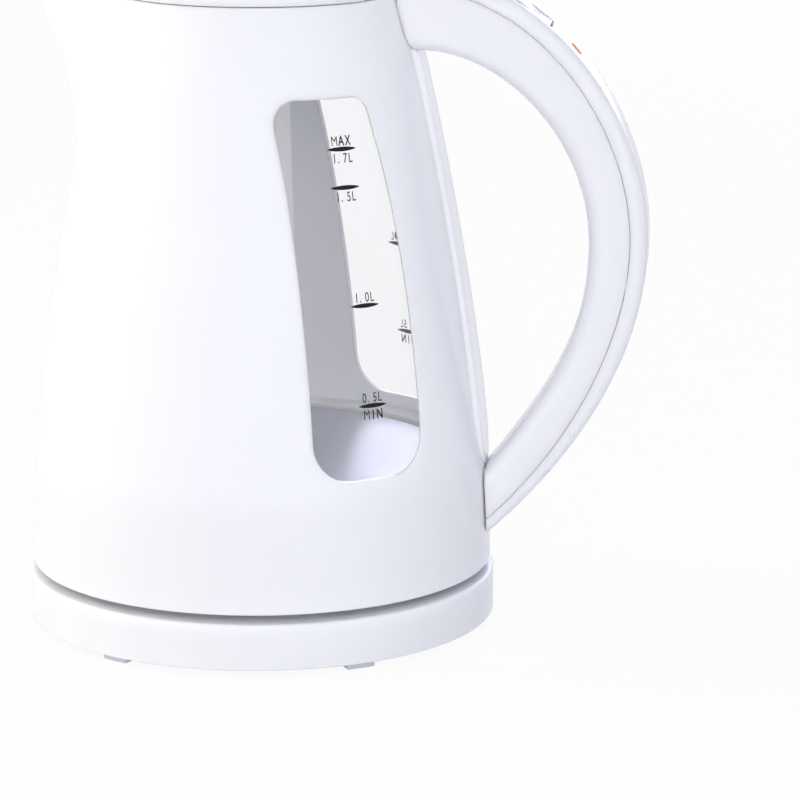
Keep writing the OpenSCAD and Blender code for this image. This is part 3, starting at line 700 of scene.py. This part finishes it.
def glyph(letter, pitch, weight):
    # one letter in a plane, centred in its cell, as a thin plate
    curve = bpy.data.curves.new("lettering", "FONT")
    curve.body = letter
    curve.size = marks["letter"]
    curve.offset = weight - marks["lighterM"] if letter == "M" else weight
    curve.extrude = marks["thick"] / 2
    holder = bpy.data.objects.new("lettering", curve)
    scene.collection.objects.link(holder)
    ready = holder.evaluated_get(bpy.context.evaluated_depsgraph_get())
    bm = bmesh.new()
    bm.from_mesh(ready.to_mesh())
    ready.to_mesh_clear()
    bpy.data.objects.remove(holder)
    bpy.data.curves.remove(curve)
    bmesh.ops.remove_doubles(bm, verts=bm.verts, dist=0.001)
    low, high = min(v.co.x for v in bm.verts), max(v.co.x for v in bm.verts)
    moved(bm, (-(low + high) / 2, 0, 0))
    bmesh.ops.scale(bm, vec=(min(marks["narrow"], 0.9 * pitch / (high - low)), 1, 1), verts=bm.verts)
    return moved(bm, (-marks["stopLeft"] * pitch, 0, 0)) if letter == "." else bm


def printed(text, height):
    # a line of lettering with each letter in a cell of its own
    pitch, weight = marks["word"] if text.isalpha() else marks["number"]
    middle = (len(text) - 1) / 2
    letters = []
    for k, letter in enumerate(text):
        letters.append(moved(glyph(letter, pitch, weight), ((k - middle) * pitch, 0, 0)))
    return moved(together(*letters), (0, height, 0))


def oval(width, height):
    # pointed at both ends
    def place(u, v):
        x = 2 * u - 1
        return x * width / 2, (2 * v - 1) * height / 2 * (1 - x * x) ** 0.75, marks["thick"] / 2
    bm = skin(32, 2, place)
    bmesh.ops.dissolve_degenerate(bm, edges=bm.edges, dist=0.0005)
    bmesh.ops.solidify(bm, geom=bm.faces[:], thickness=marks["thick"])
    bmesh.ops.recalc_face_normals(bm, faces=bm.faces)
    return bm


def makeMarks():
    plates = []
    for z, angle, over, under in marks["rows"]:
        row = [oval(marks["width"], marks["height"])]
        if over:
            row.append(printed(over, marks["wordsOver"]))
        if under:
            row.append(printed(under, marks["wordsUnder"]))
        row = together(*row)
        bmesh.ops.triangulate(row, faces=row.faces)
        for v in row.verts:  # wraps the flat print round the pane
            height, r = z + v.co.y, jugRadius(z + v.co.y) + window["proud"] + 0.02 + v.co.z
            turn = math.radians(angle) + v.co.x / r
            v.co = (r * math.cos(turn), r * math.sin(turn), height)
        plates.append(row)
    left = together(*plates)
    bmesh.ops.recalc_face_normals(left, faces=left.faces)
    right = turned(left.copy(), marks["other"])
    addPiece("levelMarksLeft", left, "print", "kettle")
    addPiece("levelMarksRight", right, "print", "kettle")


# handle

handle = {
    "outerLow": ((81.2, 33.6), (104.2, 54.1), (135.4, 92.2), (135.4, 138)),
    "outerHigh": ((135.4, 138), (135.4, 181.8), (99.7, 231), (52, 231)),
    "innerLow": ((83, 60.5), (99.5, 82.7), (114.9, 102.7), (114.9, 136)),
    "innerHigh": ((114.9, 136), (114.9, 173.4), (84, 203), (57, 203)),
    "inJugLow": ((76, 52.5), (73, 27.5)),
    "inJugHigh": ((46, 203), (44, 231)),
    "width": 26,
    "footWidth": 24,
    "headWidth": 33,
    "wall": 2.2,
    "cover": 6,  # depth of the back cover
    "seam": 0.15,  # half of the gap between the two halves
    "seamEdge": 0.25,
    "gripCorner": 7,
    "backCorner": 4.5,
    "footGap": 0.6,
    "headGap": 0.15,
}
handleCurves = {key: bezier(handle[key], 200) for key in ("outerLow", "outerHigh", "innerLow", "innerHigh")}


def station(s):
    # inner and outer point at s along the handle, which runs from 0 in the foot to 30 in the head
    if s < 1:
        ends = [Vector(p) for p in handle["inJugLow"]]
        return [end.lerp(handleCurves[key][0], s) for end, key in zip(ends, ("innerLow", "outerLow"))]
    if s > 29:
        ends = [Vector(p) for p in handle["inJugHigh"]]
        return [handleCurves[key][-1].lerp(end, s - 29) for end, key in zip(ends, ("innerHigh", "outerHigh"))]
    low, t = (True, (s - 1) / 13) if s <= 14 else (False, (s - 14) / 15)
    keys = ("innerLow", "outerLow") if low else ("innerHigh", "outerHigh")
    k = min(199, int(t * 200))
    return [handleCurves[key][k].lerp(handleCurves[key][k + 1], t * 200 - k) for key in keys]


def stationWidth(s):
    foot, wide, head = handle["footWidth"], handle["width"], handle["headWidth"]
    return foot + (wide - foot) * min(1, s / 8) + (head - wide) * max(0, (s - 17) / 13) ** 1.5


def closedSection(depth, width, corner):
    # outline of one half of the handle, from its closed side: (across, deep) points
    edge, half = handle["seamEdge"], width / 2
    ring = (arc((corner - half, corner), corner, 270, 180, 8)
            + arc((edge - half, depth - edge), edge, 180, 90, 2))
    return ring + mirrored(ring)


def hollowSection(depth, width, corner):
    # the room inside it, which runs out through the seam
    wall, half = handle["wall"], width / 2
    ring = arc((corner - half, corner), corner - wall, 270, 180, 6) + [Vector((wall - half, depth + 3))]
    return ring + mirrored(ring)


def sweepHandle(cover, outline):
    def section(u, v):
        s = 30 * v
        inner, outer = station(s)
        depth = (outer - inner).length
        along = (outer - inner) / depth
        if cover:
            ring = outline(handle["cover"], stationWidth(s), handle["backCorner"])
        else:
            ring = outline(depth - handle["cover"] - handle["seam"], stationWidth(s), handle["gripCorner"])
        y, deep = ring[round(u * len(ring)) % len(ring)]
        place = outer - along * deep if cover else inner + along * deep
        return place.x, y, place.y
    return skin(len(outline(10, 26, 4.5)), 110, section, wrap=True, caps=True)


def besideHandle(grown):
    # everything of the jug that the handle must clear, grown by the thickness of the handle's end walls
    foot = jugSide(24, 110, handle["footGap"] + grown, 30)
    low = spun([Vector((0, 24))] + foot + [Vector((0, 110))], 240, closed=False)
    over = jugRadius(jug["rim"]) + 0.9 + grown
    head = [p for p in jugSide(150, jug["rim"], handle["headGap"], 40) if p.x > over] if not grown else []
    head = head or [Vector((over, 220))]
    high = spun([Vector((0, head[0].y))] + head + [Vector((over, 240)), Vector((0, 240))], 240, closed=False)
    return together(low, high)


def halfOfHandle(cover):
    solid = cut(sweepHandle(cover, closedSection), besideHandle(0))
    room = cut(sweepHandle(cover, hollowSection), besideHandle(2))
    return cut(cut(solid, room), ridge(0.15))


def onBack(key, t):
    # frame on the back of the handle at t along one of its curves: +Z out of it, +X down along it
    path = bezier(handle[key], 1000)
    k = round(t * 1000)
    down = (path[k - 1] - path[k + 1]).normalized()
    x, z = path[k]
    return Matrix(((down.x, 0, -down.y, x), (0, 1, 0, 0), (down.y, 0, down.x, z), (0, 0, 0, 1)))


fitting = {
    "screwAt": ("outerLow", 4 / 13),
    "screwHead": 3.4,
    "screwDepth": 4.6,
    "screwBore": 1.6,
    "screwSeat": (4.8, -6.5, -1.2),  # radius, from and to, under the handle's back
    "boss": (4, -17, -6.8),
    "bossBore": (1.3, -14.5, 0),
    "spigot": ((77.3, -9.1, 37.9), (82.9, 9.1, 56.1)),  # enters the jug's wall
    "spigotRoom": ((70, -7, 40), (90, 7, 54)),  # for the wires
    "lensAt": ("outerHigh", 0.52),
    "lensHole": 2.6,
    "switchAt": ("outerHigh", 0.7),
    "slotLength": 26.6,
    "rockerWidth": 15,
    "rockerGap": 0.5,
}


def makeHandle():
    room = fitting["spigotRoom"]
    shell = cut(halfOfHandle(False), block(*room))
    spigot = cut(block(*fitting["spigot"]), block(*room))
    atScrew = onBack(*fitting["screwAt"])
    boss = cut(drum(*fitting["boss"], 32), drum(*fitting["bossBore"], 24))
    shell = together(shell, spigot, framed(boss, atScrew))
    addPiece("handleShell", shell, "white_gloss", "kettle", ("handle_shell",))

    cover = halfOfHandle(True)
    long = fitting["slotLength"] / 2
    wide = fitting["rockerWidth"] / 2 + fitting["rockerGap"]
    slot = block((-long, -wide, -12), (long, wide, 8))
    softened(slot, lambda e: abs(e.verts[0].co.z - e.verts[1].co.z) > 1, 1.2, 4)
    cover = cut(cover, framed(slot, onBack(*fitting["switchAt"])))
    cover = cut(cover, framed(drum(fitting["lensHole"], -12, 8, 48), onBack(*fitting["lensAt"])))
    cover = cut(cover, framed(drum(*fitting["screwSeat"], 48), atScrew), "UNION")
    cover = cut(cover, framed(drum(fitting["screwHead"], -fitting["screwDepth"], 4, 48), atScrew))
    cover = cut(cover, framed(drum(fitting["screwBore"], -7, 4, 24), atScrew))
    addPiece("handleCover", cover, "white_gloss", "kettle", ("handle_cover",))


rocker = {
    "drop": 5.5,  # the pivot lies this far under the handle's back
    "half": 12,
    "crest": 0.6,
    "dish": 0.35,  # hollow for the finger in each half
    "low": -10,  # degrees round the pivot, of the end by the lens and of the other
    "front": 20,
    "back": 144,
    "high": 190,
    "foot": (5, -9.5),
    "edge": 0.45,
    "pin": (1.6, 2),  # radius, and how far it stands out on each side
    "signAt": 6.2,
    "signThick": 0.04,
}


def rockerReach():
    return math.hypot(rocker["half"], rocker["drop"])


def rockerFace(x):
    angle = math.radians(rocker["front"] if x > 0 else rocker["back"])
    end = Vector((rockerReach() * math.cos(angle), rockerReach() * math.sin(angle) - rocker["drop"]))
    t = x / end.x
    return rocker["crest"] + (end.y - rocker["crest"]) * t - rocker["dish"] * math.sin(math.pi * min(1, t))


def makeRocker():
    drop, wide, reach = rocker["drop"], fitting["rockerWidth"] / 2, rockerReach()
    right = arc((0, -drop), reach, rocker["low"], rocker["front"], 8)
    left = arc((0, -drop), reach, rocker["back"], rocker["high"], 10)
    span = left[0].x - right[-1].x
    face = [Vector((x, rockerFace(x))) for x in [right[-1].x + span * k / 32 for k in range(1, 32)]]
    x, z = rocker["foot"]
    key = prism(right + face + left + [Vector((-x, z)), Vector((x, z))], "y", -wide, wide)
    softened(key, lambda e: steep(e, 50) and min(v.co.z for v in e.verts) > -3, rocker["edge"], 3)
    radius, out = rocker["pin"]
    pin = moved(turned(drum(radius, -wide - out, wide + out, 32), 90, "X"), (0, 0, -drop))
    atSwitch = onBack(*fitting["switchAt"])
    addPiece("rockerKey", framed(together(key, pin), atSwitch), "white_gloss", "rocker", ("switch_rocker",))

    half = rocker["signThick"] / 2
    bar = moved(skin(16, 2, lambda u, v: (3.4 * u - 1.7, 0.5 * v - 0.25, half)), (rocker["signAt"], 0, 0))

    def loop(u, v):
        turn, radius = 2 * math.pi * u, 1.2 + 0.45 * v
        return radius * math.cos(turn), radius * math.sin(turn), half

    signs = together(bar, moved(skin(48, 1, loop, wrap=True), (-rocker["signAt"], 0, 0)))
    for v in signs.verts:
        v.co.z += rockerFace(v.co.x)
    for face in signs.faces:
        if face.normal.z > 0:
            face.normal_flip()
    bmesh.ops.solidify(signs, geom=signs.faces[:], thickness=rocker["signThick"])
    bmesh.ops.recalc_face_normals(signs, faces=signs.faces)
    addPiece("rockerSigns", framed(signs, atSwitch), "print", "rocker")


lampLens = {
    "flange": 3.4,
    "flangeLow": -3.4,
    "flangeTop": -2.6,
    "radius": 2.5,
    "side": 0.1,  # height of its side over the handle's back
    "dome": 0.5,
}


def makeLens():
    wide, r, side, dome = (lampLens[key] for key in ("flange", "radius", "side", "dome"))
    low, top = lampLens["flangeLow"], lampLens["flangeTop"]
    turns = [math.radians(15 * k) for k in range(1, 6)]
    corners = ((0, low), (wide, low), (wide, top), (r, top), (r, side))
    profile = ([Vector(p) for p in corners]
               + [Vector((r * math.cos(a), side + dome * math.sin(a))) for a in turns]
               + [Vector((0, side + dome))])
    bm = framed(spun(profile, 48, closed=False), onBack(*fitting["lensAt"]))
    addPiece("lampLens", bm, "lamp_amber", "kettle", ("indicator_lens",))


# lid

lid = {
    "crown": 233.5,
    "sag": 7.5,
    "rimGap": 0.3,
    "wall": 2,
    "edge": 1.8,  # rounding of the rim's upper edge
    "lowEdge": 0.3,
    "cutX": 40.2,
    "knuckle": 3.8,
    "knuckleHalf": 9.65,
    "pin": 1.56,
    "collar": 1.65,  # wall of the button's well
    "collarLow": 225.1,
}

button = {
    "x": 10,
    "radius": 11,
    "gap": 0.35,
    "low": 228.6,
    "top": 234.45,
    "edge": 0.9,
    "dish": 0.75,  # hollow for the finger
    "rim": 1.6,  # width of the ring round it
    "stem": ((4, 229), (4, 216), (15, 216), (19, 220), (19, 229)),  # with its wedge towards the handle
    "stemHalf": 4.5,
    "springRoom": (3.4, 215, 224),  # radius, from and to
    "springX": 9.5,
}


def keepFront(bm, x):
    # cuts off what lies behind x and closes the cut
    sliced = bmesh.ops.bisect_plane(bm, geom=bm.verts[:] + bm.edges[:] + bm.faces[:], plane_co=(x, 0, 0),
                                    plane_no=(1, 0, 0), clear_outer=True)
    edges = [e for e in sliced["geom_cut"] if isinstance(e, bmesh.types.BMEdge)]
    bmesh.ops.holes_fill(bm, edges=edges, sides=0)
    return bm


def makeLid():
    crown, sag, thick, edge, lowEdge = (lid[key] for key in ("crown", "sag", "wall", "edge", "lowEdge"))
    rim, low = jugRadius(jug["rim"]) - 0.2, jug["rim"] + lid["rimGap"]
    dome = (rim * rim + sag * sag) / (2 * sag)
    half = math.degrees(math.asin(rim / dome))
    profile = (arc((0, crown - dome), dome, 90, 90 - half * 0.955, 40)
               + arc((rim - edge, crown - sag - 1.2), edge, 60, 0, 7)
               + arc((rim - lowEdge, low + lowEdge), lowEdge, 0, -90, 3)
               + [Vector((rim - thick, low)), Vector((rim - thick, crown - sag - 1.8))]
               + arc((0, crown - dome - thick), dome, 90 - half * 0.95, 90, 24))
    back = lid["cutX"]
    cap = keepFront(spun(profile, 240, closed=False), back)
    x, z = hinge["at"]
    root = [Vector((back - 2.6, z + 2.6)), Vector((back - 2.6, z - 2.6)), Vector((back + 0.4, z - 3.2))]
    wide = lid["knuckleHalf"]
    knuckle = prism(arc((x, z), lid["knuckle"], -90, 90, 20) + root, "y", -wide, wide)
    cap = cut(cap, knuckle, "UNION")
    well = button["radius"] + button["gap"]
    near, far = well - 0.2, well + lid["collar"]
    collar = spun([Vector((near, lid["collarLow"])), Vector((far, lid["collarLow"])),
                   Vector((far, crown - 1.8)), Vector((near, crown - 1.8))], 96)
    atButton = (button["x"], 0, 0)
    cap = cut(cap, moved(collar, atButton), "UNION")
    cap = cut(cap, moved(drum(well, 215, 245, 128), atButton))
    cap = cut(cap, moved(turned(drum(lid["pin"], -20, 20, 32), 90, "X"), (x, 0, z)))
    addPiece("lidCap", cap, "white_gloss", "lid", ("lid_cap",))


def makeButton():
    r, top, edge = button["radius"], button["top"], button["edge"]
    dish = [Vector((k * (r - button["rim"]) / 12, top - button["dish"] * math.cos(math.pi / 2 * k / 12) ** 2))
            for k in range(12, -1, -1)]
    profile = ([Vector((0, button["low"])), Vector((r, button["low"]))]
               + arc((r - edge, top - 0.85), edge, 0, 90, 6) + dish)
    cap = moved(spun(profile, 96, closed=False), (button["x"], 0, 0))
    wide = button["stemHalf"]
    stem = prism([Vector(p) for p in button["stem"]], "y", -wide, wide)
    stem = cut(stem, moved(drum(*button["springRoom"], 48), (button["springX"], 0, 0)))
    addPiece("lidButton", together(cap, stem), "white_gloss", "push_button", ("lid_button",))


# power base

base = {
    "radius": 82,
    "top": 18.5,
    "edge": 1.4,
    "foot": 2.5,
    "wall": 2.2,
    "socket": 24,
    "footEdge": 0.8,
    "notch": ((-4.5, 58, 1.5), (4.5, 84, 11)),  # where the mains lead comes out
    "notchCorner": 1.2,
}

feet = {
    "angles": (57.5, 122.5, 237.5, 302.5),
    "middle": 75.4,
    "half": 5,  # along the edge of the base
    "inner": 3.8,
    "outer": 3.7,
    "low": 0.02,
    "sunk": 0.9,  # into its recess
    "edge": 0.7,
}


def makeBase():
    r, top, edge, foot, wall = (base[key] for key in ("radius", "top", "edge", "foot", "wall"))
    inside, under = r - wall - 0.3, top - wall
    socket, low = base["socket"], base["footEdge"]
    profile = ([Vector((socket, under)), Vector((socket, top - 0.3)), Vector((socket + 0.3, top))]
               + arc((r - edge, top - edge), edge, 90, 0, 8)
               + arc((r - low, foot + low), low, 0, -90, 5)
               + [Vector((inside, foot)), Vector((inside + 0.2, under - 2))]
               + arc((inside - 1.8, under - 2), 2, 0, 90, 6))
    notch = block(*base["notch"])
    softened(notch, lambda e: abs(e.verts[0].co.y - e.verts[1].co.y) > 1, base["notchCorner"], 4)
    cover = cut(spun(profile, 320), notch)
    addPiece("baseCover", cover, "white_gloss", "power_base", ("base_top_cover",))


def makeFeet():
    pads = []
    middle, low, high = feet["middle"], feet["low"], base["foot"] + feet["sunk"]
    near, far = middle - feet["inner"], middle + feet["outer"]
    spread = math.degrees(feet["half"] / middle)
    for angle in feet["angles"]:
        section = [Vector((near, low)), Vector((far, low)), Vector((far, high)), Vector((near, high))]
        pad = spun(section, 12, turn=2 * spread)
        softened(pad, lambda e: steep(e) and min(v.co.z for v in e.verts) < 1, feet["edge"], 3)
        pads.append(turned(pad, angle - spread))
    addPiece("baseFeet", together(*pads), "foot_rubber", "power_base", ("base_feet",))


makeJug()
print("jug turned and cut")
makeHinge()
makeWindows()
makeMarks()
print("windows set and printed")
makeHandle()
makeRocker()
makeLens()
print("handle joined")
makeLid()
makeButton()
print("lid made")
makeBase()
makeFeet()
print("power base made")


# nodes that keep their own mesh

slotOf = {part["node"]: part["material_slot"] for part in frame["record"]["subparts"]}
for node, slotName in slotOf.items():
    nodes[node].data.materials.clear()
    nodes[node].data.materials.append(looks[slotName])
print("kept nodes finished")
